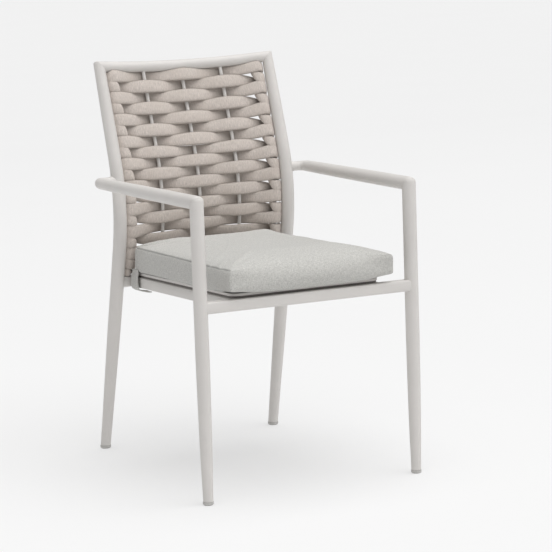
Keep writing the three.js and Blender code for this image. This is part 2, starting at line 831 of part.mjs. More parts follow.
sideNames.forEach(([side, name]) => {
  addPiece(`front_leg_${name}`, frontLeg(side, 0), paint);
  addPiece(`rear_leg_${name}`, rearLeg(side, 0), paint);
  addPiece(`arm_${name}`, arm(side), paint);
  addPiece(`side_rail_${name}`, sideRail(side), paint);
  addPiece(`front_glide_${name}`, glide(side * legX, 0, frontFootRadius), glidePlastic);
  addPiece(`rear_glide_${name}`, glide(side * postSpread(0), rearGlideY, rearFootRadius), glidePlastic);
  addPiece(`cushion_tie_${name}`, cushionTie(side), tieCloth);
});
addPiece('front_rail', frontRail(), paint);
addPiece('rear_rail', rearRail(), paint);
addPiece('top_rail', topRail(0), paint);
rodPlaces.forEach((x, i) => addPiece(`back_rod_${rodNames[i]}`, backRod(x), paint));
addPiece('woven_strap', wovenStrap(), strapCloth);
addPiece('seat_edging', seatEdging(), darkRubber);
addPiece('seat_panel', seatPanel(), paint);
addPiece('seat_cushion', seatCushion(), cushionCloth);

// The origin goes to the floor under the middle of the chair
const middle = new THREE.Box3().setFromObject(chair).getCenter(new THREE.Vector3());
chair.children.forEach((piece) => piece.geometry.translate(0, -middle.y, 0));

export default chair;
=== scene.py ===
import math

import bpy
import bmesh
from bpy.props import FloatProperty, FloatVectorProperty, IntProperty, PointerProperty
from mathutils import Matrix, Vector, noise
from mathutils.bvhtree import BVHTree
from mathutils.kdtree import KDTree


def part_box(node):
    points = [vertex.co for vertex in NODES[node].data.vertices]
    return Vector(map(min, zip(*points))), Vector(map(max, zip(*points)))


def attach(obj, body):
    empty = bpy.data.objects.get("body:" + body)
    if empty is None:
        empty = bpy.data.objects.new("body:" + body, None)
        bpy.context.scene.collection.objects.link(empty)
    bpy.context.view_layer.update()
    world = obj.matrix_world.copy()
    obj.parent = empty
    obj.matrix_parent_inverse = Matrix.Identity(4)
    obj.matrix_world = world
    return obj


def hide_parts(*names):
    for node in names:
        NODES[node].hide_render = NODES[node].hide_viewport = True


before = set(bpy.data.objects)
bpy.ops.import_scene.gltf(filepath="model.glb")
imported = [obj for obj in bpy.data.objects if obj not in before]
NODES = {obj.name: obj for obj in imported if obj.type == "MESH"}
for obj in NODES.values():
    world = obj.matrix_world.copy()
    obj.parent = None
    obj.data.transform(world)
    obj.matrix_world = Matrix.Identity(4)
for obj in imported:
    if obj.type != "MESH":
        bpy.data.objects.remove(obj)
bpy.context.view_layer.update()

bl_info = {
    "name": "Outdoor Dining Armchair",
    "version": (1, 0, 0),
    "blender": (4, 5, 0),
    "location": "3D View > Sidebar > Armchair",
    "description": "Dresses the armchair's frame with its woven strap back, seat cushion and paint",
    "category": "Object",
}

# Lengths below are in metres. Those along Y count from the front legs' axes to the rear
GLIDE_LOW, GLIDE_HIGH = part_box("front_glide_left")
FRONT_Y = (GLIDE_LOW.y + GLIDE_HIGH.y) / 2

# The line of the back: foot, lower lean, bend, upper lean, top rail
REAR_FOOT_Y = 0.6195
LOWER_LEAN = math.radians(14.25)
UPPER_LEAN = math.radians(18)
KINK_HEIGHT = 0.5747
BEND_RADIUS = 0.36
TOP_RAIL_HEIGHT = 0.8682
POST_X = 0.207
BACK_BOW = 0.027
SIDE_ROD_X = 0.1775
INNER_ROD_X = 0.095
ROD_PLACES = (-SIDE_ROD_X, -INNER_ROD_X, 0.0, INNER_ROD_X, SIDE_ROD_X)
ROD_RADIUS = 0.004

# The seat: the rails' top at the front legs, and its fall towards the rear
SEAT_TOP = 0.418
SEAT_SLOPE = 0.0255
RAIL_HEIGHT = 0.024
SIDE_RAIL_X = 0.161
SIDE_RAIL_WIDTH = 0.028
FRONT_RAIL_DEPTH = 0.026
LEG_X = 0.245
LEG_RADIUS = 0.0146

# The cushion: its underside at the front legs, its sides and its outline seen from above
CUSHION_BOTTOM = 0.4279
CUSHION_SIDE = 0.048
CUSHION_SIDE_GAIN = 0.006
CUSHION_CROWN = 0.021
CUSHION_FRONT = -0.025
CUSHION_DEPTH = 0.515
CUSHION_FRONT_HALF = 0.189
CUSHION_REAR_HALF = 0.178

BEND_TANGENT = BEND_RADIUS * math.tan((LOWER_LEAN + UPPER_LEAN) / 2)
BEND_START = KINK_HEIGHT / math.cos(LOWER_LEAN) - BEND_TANGENT
BEND_LENGTH = BEND_RADIUS * (LOWER_LEAN + UPPER_LEAN)
BEND_END = BEND_START + BEND_LENGTH
TOP_LENGTH = (
    BEND_END - BEND_TANGENT + (TOP_RAIL_HEIGHT - KINK_HEIGHT) / math.cos(UPPER_LEAN)
)


# ---- the line of the back


def back_line(length):
    """Y, Z and lean of the back at a length up from the floor."""
    lower = min(length, BEND_START)
    bent = min(max(length - BEND_START, 0), BEND_LENGTH)
    upper = max(length - BEND_END, 0)
    lean = LOWER_LEAN - bent / BEND_RADIUS
    y = (
        REAR_FOOT_Y
        - lower * math.sin(LOWER_LEAN)
        + BEND_RADIUS * (math.cos(LOWER_LEAN) - math.cos(lean))
        + upper * math.sin(UPPER_LEAN)
    )
    z = (
        lower * math.cos(LOWER_LEAN)
        + BEND_RADIUS * (math.sin(LOWER_LEAN) - math.sin(lean))
        + upper * math.cos(UPPER_LEAN)
    )
    return y, z, lean


def bow_at(x):
    return BACK_BOW * (1 - (x / POST_X) ** 2)


def back_point(x, length, depth):
    """A point of the back, behind its line by the bow and a depth."""
    y, z, lean = back_line(length)
    behind = bow_at(x) + depth
    return Vector((x, y + behind * math.cos(lean) + FRONT_Y, z + behind * math.sin(lean)))


def back_up(length):
    lean = back_line(length)[2]
    return Vector((0, -math.sin(lean), math.cos(lean)))


# ---- small helpers for modelling by hand

# Corners of a node's loose triangles that lie closer than this are one
MERGE_DISTANCE = 0.000004


def deselect_all():
    if bpy.context.mode != "OBJECT":
        bpy.ops.object.mode_set(mode="OBJECT")
    for obj in bpy.context.selected_objects:
        obj.select_set(False)


def make_active(obj):
    deselect_all()
    obj.select_set(True)
    bpy.context.view_layer.objects.active = obj


def link_piece(name, mesh):
    obj = bpy.data.objects.new(name, mesh)
    bpy.context.scene.collection.objects.link(obj)
    return obj


def apply_modifiers(obj):
    make_active(obj)
    for modifier in list(obj.modifiers):
        bpy.ops.object.modifier_apply(modifier=modifier.name)


def settle_at_origin(obj):
    make_active(obj)
    bpy.ops.object.transform_apply(location=True, rotation=True, scale=True)


def paint_piece(obj, material):
    obj.data.materials.clear()
    obj.data.materials.append(material)


def select_where(obj, kind, test):
    """Selects the faces or edges of a mesh in edit mode by a test."""
    form = bmesh.from_edit_mesh(obj.data)
    for group in (form.verts, form.edges, form.faces):
        for item in group:
            item.select = False
    chosen = {"faces": form.faces, "edges": form.edges}[kind]
    for item in chosen:
        if test(item):
            item.select_set(True)
    form.select_flush_mode()
    bmesh.update_edit_mesh(obj.data)


def turn_outwards():
    """Turns all faces of the active mesh outwards and leaves edit mode."""
    bpy.ops.object.mode_set(mode="EDIT")
    bpy.ops.mesh.select_all(action="SELECT")
    bpy.ops.mesh.normals_make_consistent(inside=False)
    bpy.ops.object.mode_set(mode="OBJECT")


def merged_copy(node, name):
    """A copy of a frame node with its loose triangles merged into closed quads."""
    obj = link_piece(name, NODES[node].data.copy())
    make_active(obj)
    bpy.ops.mesh.customdata_custom_splitnormals_clear()
    bpy.ops.object.mode_set(mode="EDIT")
    bpy.ops.mesh.select_all(action="SELECT")
    bpy.ops.mesh.remove_doubles(threshold=MERGE_DISTANCE)
    bpy.ops.mesh.tris_convert_to_quads()
    bpy.ops.object.mode_set(mode="OBJECT")
    return obj


def finish_piece(obj, body, slot, material, *replaced):
    """Paints a piece, hangs it on the body it rides on and hides the nodes it stands for; its slot
    is not used.
    """
    paint_piece(obj, material)
    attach(obj, body)
    if replaced:
        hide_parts(*replaced)


# ---- finishes

STITCH_LENGTH = 0.0021
RIB_WIDTH = 0.0016
FLOOR_GREYS = ((0.38,) * 3, (0.39,) * 3)
FLOOR_GLOWS = ((0.465,) * 3, (0.405,) * 3)


class Finish:
    """A material under construction: its nodes, and how they are joined."""

    def __init__(self, name):
        self.material = bpy.data.materials.new(name)
        self.material.use_nodes = True
        self.nodes = self.material.node_tree.nodes
        self.links = self.material.node_tree.links
        self.shader = self.nodes["Principled BSDF"]

    def add(self, kind, **values):
        node = self.nodes.new(kind)
        for key, value in values.items():
            setattr(node, key, value)
        return node

    def join(self, value, socket):
        """Joins an output to a socket, or sets a value there."""
        if isinstance(value, bpy.types.NodeSocket):
            self.links.new(value, socket)
        else:
            socket.default_value = value

    def give(self, name, value):
        """Joins or sets an input of the finish itself."""
        self.join(value, self.shader.inputs[name])

    def noise(self, where, scale, detail=3.0, roughness=0.55, stretch=None):
        """Noise on the given coordinates, as its 0 to 1 output."""
        if stretch:
            mapping = self.add("ShaderNodeMapping")
            mapping.inputs["Scale"].default_value = stretch
            self.join(where, mapping.inputs["Vector"])
            where = mapping.outputs["Vector"]
        node = self.add("ShaderNodeTexNoise")
        node.inputs["Scale"].default_value = scale
        node.inputs["Detail"].default_value = detail
        node.inputs["Roughness"].default_value = roughness
        self.join(where, node.inputs["Vector"])
        return node.outputs["Fac"]

    def maths(self, operation, first, second=None, third=None):
        """A sum on numbers or outputs."""
        node = self.add("ShaderNodeMath", operation=operation)
        for socket, value in zip(node.inputs, (first, second, third)):
            if value is not None:
                self.join(value, socket)
        return node.outputs[0]

    def spread(self, value, low, high, from_low, from_high):
        """A value brought from one range, given last, to another."""
        node = self.add("ShaderNodeMapRange")
        node.inputs["From Min"].default_value = from_low
        node.inputs["From Max"].default_value = from_high
        node.inputs["To Min"].default_value = low
        node.inputs["To Max"].default_value = high
        self.join(value, node.inputs["Value"])
        return node.outputs["Result"]

    def blend_colours(self, share, first, second):
        """Two colours mixed by an output. A colour is three numbers or an output."""
        node = self.add("ShaderNodeMix", data_type="RGBA")
        self.join(share, node.inputs[0])
        for socket, value in ((node.inputs[6], first), (node.inputs[7], second)):
            output = isinstance(value, bpy.types.NodeSocket)
            self.join(value if output else (*value, 1.0), socket)
        return node.outputs[2]

    def bump(self, height, distance, strength):
        """A surface relief of so many metres, as its normal."""
        node = self.add("ShaderNodeBump")
        node.inputs["Distance"].default_value = distance
        node.inputs["Strength"].default_value = strength
        self.join(height, node.inputs["Height"])
        return node.outputs["Normal"]

    def place(self):
        """The place on the chair, in metres."""
        return self.add("ShaderNodeTexCoord").outputs["Object"]

    def unwrapped(self, name):
        """The place on the cloth, from a UV map in metres."""
        return self.add("ShaderNodeUVMap", uv_map=name).outputs["UV"]

    def attribute(self, name):
        """A number that the mesh carries at each point."""
        return self.add("ShaderNodeAttribute", attribute_name=name).outputs["Fac"]


def shade(colour, factor):
    """A colour made lighter or darker."""
    return tuple(min(1.0, c * factor) for c in colour)


def frame_paint(look):
    """Powder coat: fine orange peel, a satin gloss and a trace of dust."""
    finish = Finish("powder_coat")
    where = finish.place()
    cloud = finish.noise(where, 14.0, 2.0)
    speck = finish.noise(where, 1400.0, 2.0)
    base = finish.blend_colours(
        finish.spread(cloud, 0.0, 1.0, 0.3, 0.7),
        shade(look.paint, 0.975),
        shade(look.paint, 1.015),
    )
    colour = finish.blend_colours(
        finish.spread(speck, 0.0, 0.5, 0.55, 0.8), base, shade(look.paint, 0.86)
    )
    finish.give("Base Color", colour)
    rough = finish.spread(finish.noise(where, 260.0, 3.0), look.paint_roughness - 0.05,
                          look.paint_roughness + 0.07, 0.3, 0.7)
    finish.give("Roughness", rough)
    peel = finish.noise(where, 620.0, 2.0, 0.5)
    finish.give("Normal", finish.bump(peel, 0.00006, 0.7))
    finish.give("Specular IOR Level", 0.45)
    return finish.material


def strap_cloth(look):
    """Knitted strap cover: rows of small stitches along and across the strap, with painted shade
    where it passes behind a rod and along its edges.
    """
    finish = Finish("knitted_strap")
    where = finish.unwrapped("run_and_round")
    split = finish.add("ShaderNodeSeparateXYZ")
    finish.join(where, split.inputs[0])
    along, across = split.outputs[0], split.outputs[1]
    stitch = 2 * math.pi / STITCH_LENGTH
    rib = 2 * math.pi / RIB_WIDTH
    lean = finish.maths("MULTIPLY_ADD", across, 0.35, along)
    rows = finish.maths("SINE", finish.maths("MULTIPLY", lean, stitch))
    ribs = finish.maths("SINE", finish.maths("MULTIPLY", across, rib))
    knit = finish.maths("MULTIPLY_ADD", rows, 0.5, ribs)
    slub = finish.noise(where, 1.0, 4.0, 0.7, (430.0, 150.0, 1.0))
    fuzz = finish.noise(finish.place(), 900.0, 3.0, 0.7)
    blotch = finish.noise(finish.place(), 26.0, 2.0, 0.5)
    tone = finish.maths("ADD", finish.maths("MULTIPLY", knit, 0.10), slub)
    tone = finish.maths("ADD", tone, finish.maths("MULTIPLY", fuzz, 0.5))
    cover = finish.blend_colours(
        finish.spread(tone, 0.0, 1.0, 0.52, 0.98),
        shade(look.strap, 0.74),
        shade(look.strap, 1.18),
    )
    warm = finish.blend_colours(
        finish.spread(blotch, 0.0, 0.45, 0.35, 0.7), cover, shade(look.strap_tone_and_shade, 1.0)
    )
    # Painted shade: the cloth is darkened where the strap passes behind a rod and along its edges
    painted_crease_shade = finish.maths("MULTIPLY", finish.attribute("painted_crease_shade"), 0.8)
    crease_shaded = finish.blend_colours(painted_crease_shade, warm, shade(look.strap_tone_and_shade, 0.5))
    finish.give("Base Color", crease_shaded)
    finish.give("Roughness", 0.88)
    finish.give("Specular IOR Level", 0.22)
    finish.give("Sheen Weight", 0.22)
    finish.give("Sheen Roughness", 0.45)
    yarn = finish.maths("ADD", slub, fuzz)
    height = finish.maths("ADD", finish.maths("MULTIPLY", knit, 0.35), yarn)
    finish.give("Normal", finish.bump(height, 0.00022, 0.8))
    return finish.material


def cushion_cloth(look):
    """Linen-like melange cloth: crossing threads with slubs, and painted shade along the seam
    grooves.
    """
    finish = Finish("melange_linen")
    where = finish.unwrapped("weave")
    weft = finish.noise(where, 1.0, 4.0, 0.75, (130.0, 620.0, 1.0))
    warp = finish.noise(where, 1.0, 4.0, 0.75, (620.0, 130.0, 1.0))
    grain = finish.noise(where, 520.0, 3.0, 0.7)
    cloud = finish.noise(finish.place(), 17.0, 3.0, 0.5)
    threads = finish.maths("ADD", weft, warp)
    tone = finish.maths("ADD", threads, finish.maths("MULTIPLY", grain, 0.8))
    cloth = finish.blend_colours(
        finish.spread(tone, 0.0, 1.0, 1.17, 1.63),
        shade(look.cushion, 0.7),
        shade(look.cushion, 1.2),
    )
    cloth = finish.blend_colours(
        finish.spread(cloud, 0.0, 0.35, 0.35, 0.7), cloth, shade(look.cushion, 0.9)
    )
    # Painted shade: the cloth is darkened along the seam grooves
    seam = finish.attribute("seam")
    cloth = finish.blend_colours(
        finish.maths("MULTIPLY", seam, 0.72), cloth, shade(look.cushion, 0.34)
    )
    finish.give("Base Color", cloth)
    finish.give("Roughness", 0.9)
    finish.give("Specular IOR Level", 0.2)
    finish.give("Sheen Weight", 0.3)
    finish.give("Sheen Roughness", 0.5)
    finish.give("Normal", finish.bump(tone, 0.0003, 0.8))
    return finish.material


def dark_rubber(look):
    """Moulded edging strip: matt, slightly mottled, finely grained."""
    finish = Finish("dark_edging")
    where = finish.place()
    mottle = finish.noise(where, 120.0, 3.0)
    colour = finish.blend_colours(mottle, shade(look.edging, 0.8), shade(look.edging, 1.25))
    finish.give("Base Color", colour)
    finish.give("Roughness", finish.spread(mottle, 0.55, 0.75, 0.3, 0.7))
    grain = finish.noise(where, 1500.0, 2.0)
    finish.give("Normal", finish.bump(grain, 0.00008, 0.6))
    return finish.material


def glide_plastic(look):
    """Moulded foot: satin plastic, scuffed near the floor."""
    finish = Finish("foot_plastic")
    where = finish.place()
    scuffs = finish.noise(where, 700.0, 4.0, 0.7)
    height = finish.add("ShaderNodeSeparateXYZ")
    finish.join(where, height.inputs[0])
    low = finish.spread(height.outputs[2], 1.0, 0.0, 0.0, 0.003)
    worn = finish.maths("MULTIPLY", low, finish.spread(scuffs, 0.0, 1.0, 0.45, 0.6))
    colour = finish.blend_colours(worn, look.glide, shade(look.glide, 0.6))
    finish.give("Base Color", colour)
    finish.give("Roughness", finish.spread(scuffs, 0.4, 0.62, 0.3, 0.7))
    finish.give("Normal", finish.bump(scuffs, 0.00005, 0.5))
    return finish.material


def floor_paper():
    """Seamless studio paper with a glow of its own, which keeps the shadows faint."""
    finish = Finish("studio_paper")
    where = finish.place()
    cloud = finish.noise(where, 1.2, 2.0)
    colour = finish.blend_colours(cloud, *FLOOR_GREYS)
    finish.give("Base Color", colour)
    finish.give("Roughness", 0.9)
    split = finish.add("ShaderNodeSeparateXYZ")
    finish.join(where, split.inputs[0])
    # Painted light: the floor's glow is stronger at the front and fades towards the back
    far = finish.spread(split.outputs[1], 0.0, 1.0, -1.0, 7.0)
    glow = finish.blend_colours(far, *FLOOR_GLOWS)
    finish.give("Emission Color", glow)
    finish.give("Emission Strength", 1.0)
    grain = finish.noise(where, 300.0, 2.0)
    finish.give("Normal", finish.bump(grain, 0.00005, 0.4))
    return finish.material


MATERIALS = {}


def material_for(slot):
    """The finish of a slot, made once from the panel's colours."""
    makers = {
        "frame_paint": frame_paint,
        "strap_cloth": strap_cloth,
        "cushion_cloth": cushion_cloth,
        "dark_rubber": dark_rubber,
        "glide_plastic": glide_plastic,
    }
    if slot not in MATERIALS:
        MATERIALS[slot] = makers[slot](bpy.context.scene.armchair_finishes)
    return MATERIALS[slot]


# ---- sizes and colours a user would change


class ArmchairFinishes(bpy.types.PropertyGroup):
    paint: FloatVectorProperty(
        name="Frame Paint", description="Colour of the powder coat", subtype="COLOR",
        size=3, min=0, max=1, default=(0.665, 0.641, 0.617))
    paint_roughness: FloatProperty(
        name="Paint Roughness", description="How matt the powder coat is", subtype="FACTOR",
        min=0.1, max=0.9, default=0.5)
    strap: FloatVectorProperty(
        name="Strap", description="Colour of the knitted strap", subtype="COLOR",
        size=3, min=0, max=1, default=(0.606, 0.545, 0.5))
    # The warm patches are the strap's own second tone; the same colour, darker, is the painted
    # shade in its creases and along its edges
    strap_tone_and_shade: FloatVectorProperty(
        name="Strap Second Tone", description="Warmer tone in patches and creases", subtype="COLOR",
        size=3, min=0, max=1, default=(0.545, 0.48, 0.43))
    cushion: FloatVectorProperty(
        name="Cushion", description="Colour of the cushion cloth", subtype="COLOR",
        size=3, min=0, max=1, default=(0.53, 0.523, 0.497))
    edging: FloatVectorProperty(
        name="Edging", description="Colour of the strip under the seat panel", subtype="COLOR",
        size=3, min=0, max=1, default=(0.17, 0.155, 0.147))
    glide: FloatVectorProperty(
        name="Feet", description="Colour of the plastic feet", subtype="COLOR",
        size=3, min=0, max=1, default=(0.5, 0.49, 0.47))


class ArmchairStrap(bpy.types.PropertyGroup):
    thickness: FloatProperty(
        name="Thickness", description="Thickness of the padded strap", unit="LENGTH",
        min=0.004, max=0.012, default=0.0085)
    rows: IntProperty(name="Rows", description="Rows of the weave", min=2, max=18, default=18)
    first_drop: FloatProperty(
        name="First Row Drop", description="First row below the top rail's axis",
        unit="LENGTH", min=0.01, max=0.05, default=0.023)
    last_rise: FloatProperty(
        name="Last Row Rise", description="Last row above the seat, along the back",
        unit="LENGTH", min=0.005, max=0.05, default=0.015)
    wide_share: FloatProperty(
        name="Wide Share", description="Width in front of a rod, as a share of the row pitch",
        min=0.5, max=1.3, default=1.2)
    rear_share: FloatProperty(
        name="Rear Share", description="Width behind a rod, as a share of the row pitch",
        min=0.3, max=1.3, default=1.16)
    middle_share: FloatProperty(
        name="Middle Share", description="Width between the rods, as a share of the row pitch",
        min=0.3, max=1.2, default=1.05)


class ArmchairCushion(bpy.types.PropertyGroup):
    voxel: FloatProperty(
        name="Mesh Size", description="Size of the cloth's mesh before it is subdivided",
        unit="LENGTH", min=0.003, max=0.01, default=0.004)
    pressure: FloatProperty(
        name="Filling", description="Pressure of the filling on the cover", min=0, max=10,
        default=4)
    swell: FloatProperty(
        name="Swell Limit", description="How far the cover may move outwards", unit="LENGTH",
        min=0, max=0.02, default=0.006)
    seam_width: FloatProperty(
        name="Seam Width", description="Width of the groove along a seam", unit="LENGTH",
        min=0.001, max=0.01, default=0.0026)
    seam_depth: FloatProperty(
        name="Seam Depth", description="Depth of the groove along a seam", unit="LENGTH",
        min=0, max=0.004, default=0.0016)


class ArmchairTies(bpy.types.PropertyGroup):
    thickness: FloatProperty(
        name="Thickness", description="Thickness of the folded cloth", unit="LENGTH",
        min=0.0005, max=0.003, default=0.0021)
    place: FloatProperty(
        name="Place", description="Distance of the ties behind the front legs", unit="LENGTH",
        min=0.3, max=0.5, default=0.485)


class ArmchairStudio(bpy.types.PropertyGroup):
    lens: FloatProperty(
        name="Lens", description="Focal length on a 36 mm sensor, in millimetres",
        min=20, max=400, default=153.37)
    key_strength: FloatProperty(
        name="Ceiling Light", description="Strength of the large soft light above", min=0, max=10,
        default=2.75)
    surround: FloatProperty(
        name="Surround", description="Strength of the white room", min=0, max=5, default=0.34)


# ---- the woven strap

# Widths at each quarter of the turn and a half round a side rod, as shares of the full width
TURN_WIDTHS = (0.8, 1.0, 0.84, 0.66, 0.84, 1.02, 1.0)
# The strap steps down on the rod's inner side, between these shares of the turn
FALL_FROM, FALL_TO = 0.37, 0.63
STRAP_ROD_GAP = 0.0007
# The strap keeps this far from the top rail's axis
TOP_RAIL_ROOM = 0.0121
# Odd rows end lower at the right and higher at the left, by this share of the pitch
ROW_END_SHARE = 0.36
# Even rows rise a little towards the right
ROW_RISE_SHARE = 0.15
# The padding bulges this far on the outer side of a turn
TURN_BULGE = 0.0038
# The strap's second way behind a side rod lies this far behind its first, round this share of
# the turn
SECOND_PASS, SECOND_PASS_AT, SECOND_PASS_SPAN = 0.004, 0.64, 0.2
# Between two rods the strap widens towards each by this power of the cosine
WIDENING = 1.2
# A row's end shifts up or down by this power of the way there
END_EASE = 1.5
# How far inside its middle the strap meets the top rail, as a share of its thickness
UNDER_RAIL_SHARE = 0.05
SECTION_POINTS = 16
SPAN_STEPS = 10
TURN_STEPS = 36
# The rows that the back has room for, which set the pitch
FULL_ROWS = 18
# Sizes of the rings from a cut end inwards, as shares of the full section
END_CLOSING = (0.55, 0.85, 1.0)
# Girth of the section on the cloth's UV map
STRAP_GIRTH = 0.062
# Powers that square the section's edges and its faces
EDGE_POWER, FACE_POWER = 0.8, 0.72
# The padding is thicker here and thinner there, by this share and at this scale
PLUMPNESS, PLUMP_SCALE = 0.05, 38
# Painted shade: how dark the cloth is painted along the strap's edges, where the rows shade each
# other
EDGE_SHADE = 0.7


def eased(values, share):
    """A value on a list of evenly spaced ones, with soft steps between them."""
    place = min(max(share, 0.0), 1.0) * (len(values) - 1)
    index = min(int(place), len(values) - 2)
    part = place - index
    part = part * part * (3 - 2 * part)
    return values[index] + (values[index + 1] - values[index]) * part


class StrapRoute:
    """The way of the strap through the rods. A station is a point, the direction up the back,
    the width there and the direction towards the rod."""

    def __init__(self, strap):
        self.thickness = strap.thickness
        self.depth = ROD_RADIUS + STRAP_ROD_GAP + strap.thickness / 2
        first = TOP_LENGTH - strap.first_drop
        last = SEAT_TOP / math.cos(LOWER_LEAN) + strap.last_rise
        self.pitch = (first - last) / (FULL_ROWS - 1)
        self.first = first
        self.rows = strap.rows
        self.wide = self.pitch * strap.wide_share
        self.rear = self.pitch * strap.rear_share
        self.middle = self.pitch * strap.middle_share
        self.end_shift = self.pitch * ROW_END_SHARE
        self.row_rise = self.pitch * ROW_RISE_SHARE
        rail_y = REAR_FOOT_Y - (SEAT_TOP - RAIL_HEIGHT / 2) * math.tan(LOWER_LEAN)
        self.rail_y = rail_y / (1 - SEAT_SLOPE * math.tan(LOWER_LEAN))
        self.stations = []

    def row_length(self, row):
        """How far up the back a row lies."""
        return self.first - row * self.pitch

    def add(self, x, length, depth, full):
        """Adds a station, pressed narrower where the top rail or the rear rail crowds it."""
        centre = back_point(x, length, depth)
        behind_rail = max(0.0, abs(depth) - UNDER_RAIL_SHARE * self.thickness)
        above = TOP_LENGTH - length - math.sqrt(max(0.0, TOP_RAIL_ROOM**2 - behind_rail**2))
        below = centre.z - SEAT_TOP + SEAT_SLOPE * self.rail_y
        bent = BEND_START - self.pitch / 2 < length < BEND_END + self.pitch / 2
        crowding = 1 - bow_at(x) / BEND_RADIUS if bent else 1
        width = full * crowding
        rise = back_up(length)
        crushed = max(0.0, width / 2 - above)
        pressed = max(0.0, width / 2 - below)
        centre += rise * ((pressed - crushed) / 2)
        axis = math.copysign(SIDE_ROD_X, x) if abs(x) > SIDE_ROD_X - self.depth else x
        inwards = (back_point(axis, length, 0) - centre) / self.depth
        self.stations.append((centre, rise, width - crushed - pressed, inwards))

    def row(self, row):
        """One row, in front of the rods where the phase is up and behind them where it is down."""
        even = row % 2 == 0
        for span in range(4):
            for i in range(SPAN_STEPS):
                if span + i == 0:
                    continue
                share = i / SPAN_STEPS
                start, end = ROD_PLACES[span], ROD_PLACES[span + 1]
                x = start + (end - start) * share
                phase = math.cos(math.pi * (span + share)) * (1 if even else -1)
                end_share = max(
                    0, 2 * (abs(x) - INNER_ROD_X) / (SIDE_ROD_X - INNER_ROD_X) - 1
                )
                rear = self.rear + (self.wide * TURN_WIDTHS[0] - self.rear) * end_share
                outer = self.wide if phase > 0 else rear
                width = self.middle + (outer - self.middle) * abs(phase) ** WIDENING
                shift = -math.copysign(self.end_shift * end_share**END_EASE, x)
                if even:
                    shift = self.row_rise * end_share**END_EASE if x > 0 else 0
                yield x, self.row_length(row) + shift, -phase * self.depth, width

    def turn(self, side, length, share, sink):
        """A station of the turn and a half round a side rod, which sinks by a pitch or rises."""
        angle = 3 * math.pi * share
        width = self.wide * eased(TURN_WIDTHS, share)
        arriving = self.end_shift * max(0, 1 - 3 * share)
        falling = self.pitch * eased((0.0, 1.0), (share - FALL_FROM) / (FALL_TO - FALL_FROM))
        if side > 0:
            falling += self.row_rise * max(0, 3 * share - 2)
        sideways = math.sin(angle)
        x = side * (SIDE_ROD_X + self.depth * sideways + TURN_BULGE * max(0, sideways) ** 2)
        depth = self.depth * math.cos(angle) + bow_at(SIDE_ROD_X) - bow_at(x)
        second = max(0.0, 1 - abs(share - SECOND_PASS_AT) / SECOND_PASS_SPAN)
        depth += SECOND_PASS * second * second * (3 - 2 * second)
        return x, length + math.copysign(arriving, sink) - falling * sink, depth, width

    def run(self):
        """The whole way, from the cut end at the top left to the one at the bottom left."""
        for i in range(round(0.75 * TURN_STEPS), TURN_STEPS + 1):
            self.add(*self.turn(-1, self.row_length(0), i / TURN_STEPS, 0))
        for row in range(self.rows):
            stations = list(self.row(row))
            if row % 2:
                stations.reverse()
            for station in stations:
                self.add(*station)
            if row == self.rows - 1:
                break
            for i in range(TURN_STEPS + 1):
                share = i / TURN_STEPS
                if row % 2:
                    self.add(*self.turn(-1, self.row_length(row), share, 1))
                else:
                    self.add(*self.turn(1, self.row_length(row + 1), 1 - share, -1))
        for i in range(TURN_STEPS + 1):
            self.add(*self.turn(-1, self.row_length(self.rows - 1), i / TURN_STEPS, 1))
        return self.stations


def strap_section():
    """Points of the padded section, as shares of half the width and half the thickness."""
    points = []
    for i in range(SECTION_POINTS):
        angle = 2 * math.pi * i / SECTION_POINTS
        flat = math.copysign(abs(math.cos(angle)) ** EDGE_POWER, math.cos(angle))
        thick = math.copysign(abs(math.sin(angle)) ** FACE_POWER, math.sin(angle))
        points.append((flat, thick))
    return points


def lay_strap(route):
    """The strap's mesh. It narrows, widens and tips along its way, which no sweep of one
    profile gives, so its rings are laid one by one."""
    stations = route.run()
    section = strap_section()
    form = bmesh.new()
    rings = []
    crease_shades = []
    for i, (centre, rise, width, inwards) in enumerate(stations):
        before = stations[max(i - 1, 0)][0]
        after = stations[min(i + 1, len(stations) - 1)][0]
        thick = (after - before).cross(rise).normalized()
        plump = 1 + PLUMPNESS * noise.noise(centre * PLUMP_SCALE)
        end = min(i, len(stations) - 1 - i)
        closing = END_CLOSING[min(end, 2)]
        ring = [
            form.verts.new(
                centre
                + rise * (flat * width / 2 * closing)
                + thick * (deep * route.thickness / 2 * closing * min(1.0, plump))
            )
            for flat, deep in section
        ]
        rings.append(ring)
        # Painted shade: darker on the side that faces the rod and along the strap's edges
        for vertex, (flat, _) in zip(ring, section):
            inner = (vertex.co - centre).dot(inwards) / (route.thickness / 2)
            crease_shades.append(min(1.0, max(0.0, inner) ** 3 + EDGE_SHADE * abs(flat) ** 8))
    count = len(section)
    sheet = form.loops.layers.uv.new("run_and_round")
    run = 0.0
    for i in range(len(rings) - 1):
        step = (stations[i + 1][0] - stations[i][0]).length
        for j in range(count):
            k = (j + 1) % count
            face = form.faces.new((rings[i][j], rings[i][k], rings[i + 1][k], rings[i + 1][j]))
            face.smooth = True
            low, high = j * STRAP_GIRTH / count, (j + 1) * STRAP_GIRTH / count
            places = ((run, low), (run, high), (run + step, high), (run + step, low))
            for loop, place in zip(face.loops, places):
                loop[sheet].uv = place
        run += step
    form.faces.new(rings[0][::-1])
    form.faces.new(rings[-1])
    bmesh.ops.recalc_face_normals(form, faces=form.faces)
    mesh = bpy.data.meshes.new("woven_strap_padded")
    form.to_mesh(mesh)
    form.free()
    painted_crease_shade = mesh.attributes.new(name="painted_crease_shade", type="FLOAT", domain="POINT")
    painted_crease_shade.data.foreach_set("value", crease_shades)
    return link_piece("woven_strap_padded", mesh)


# ---- the cushion


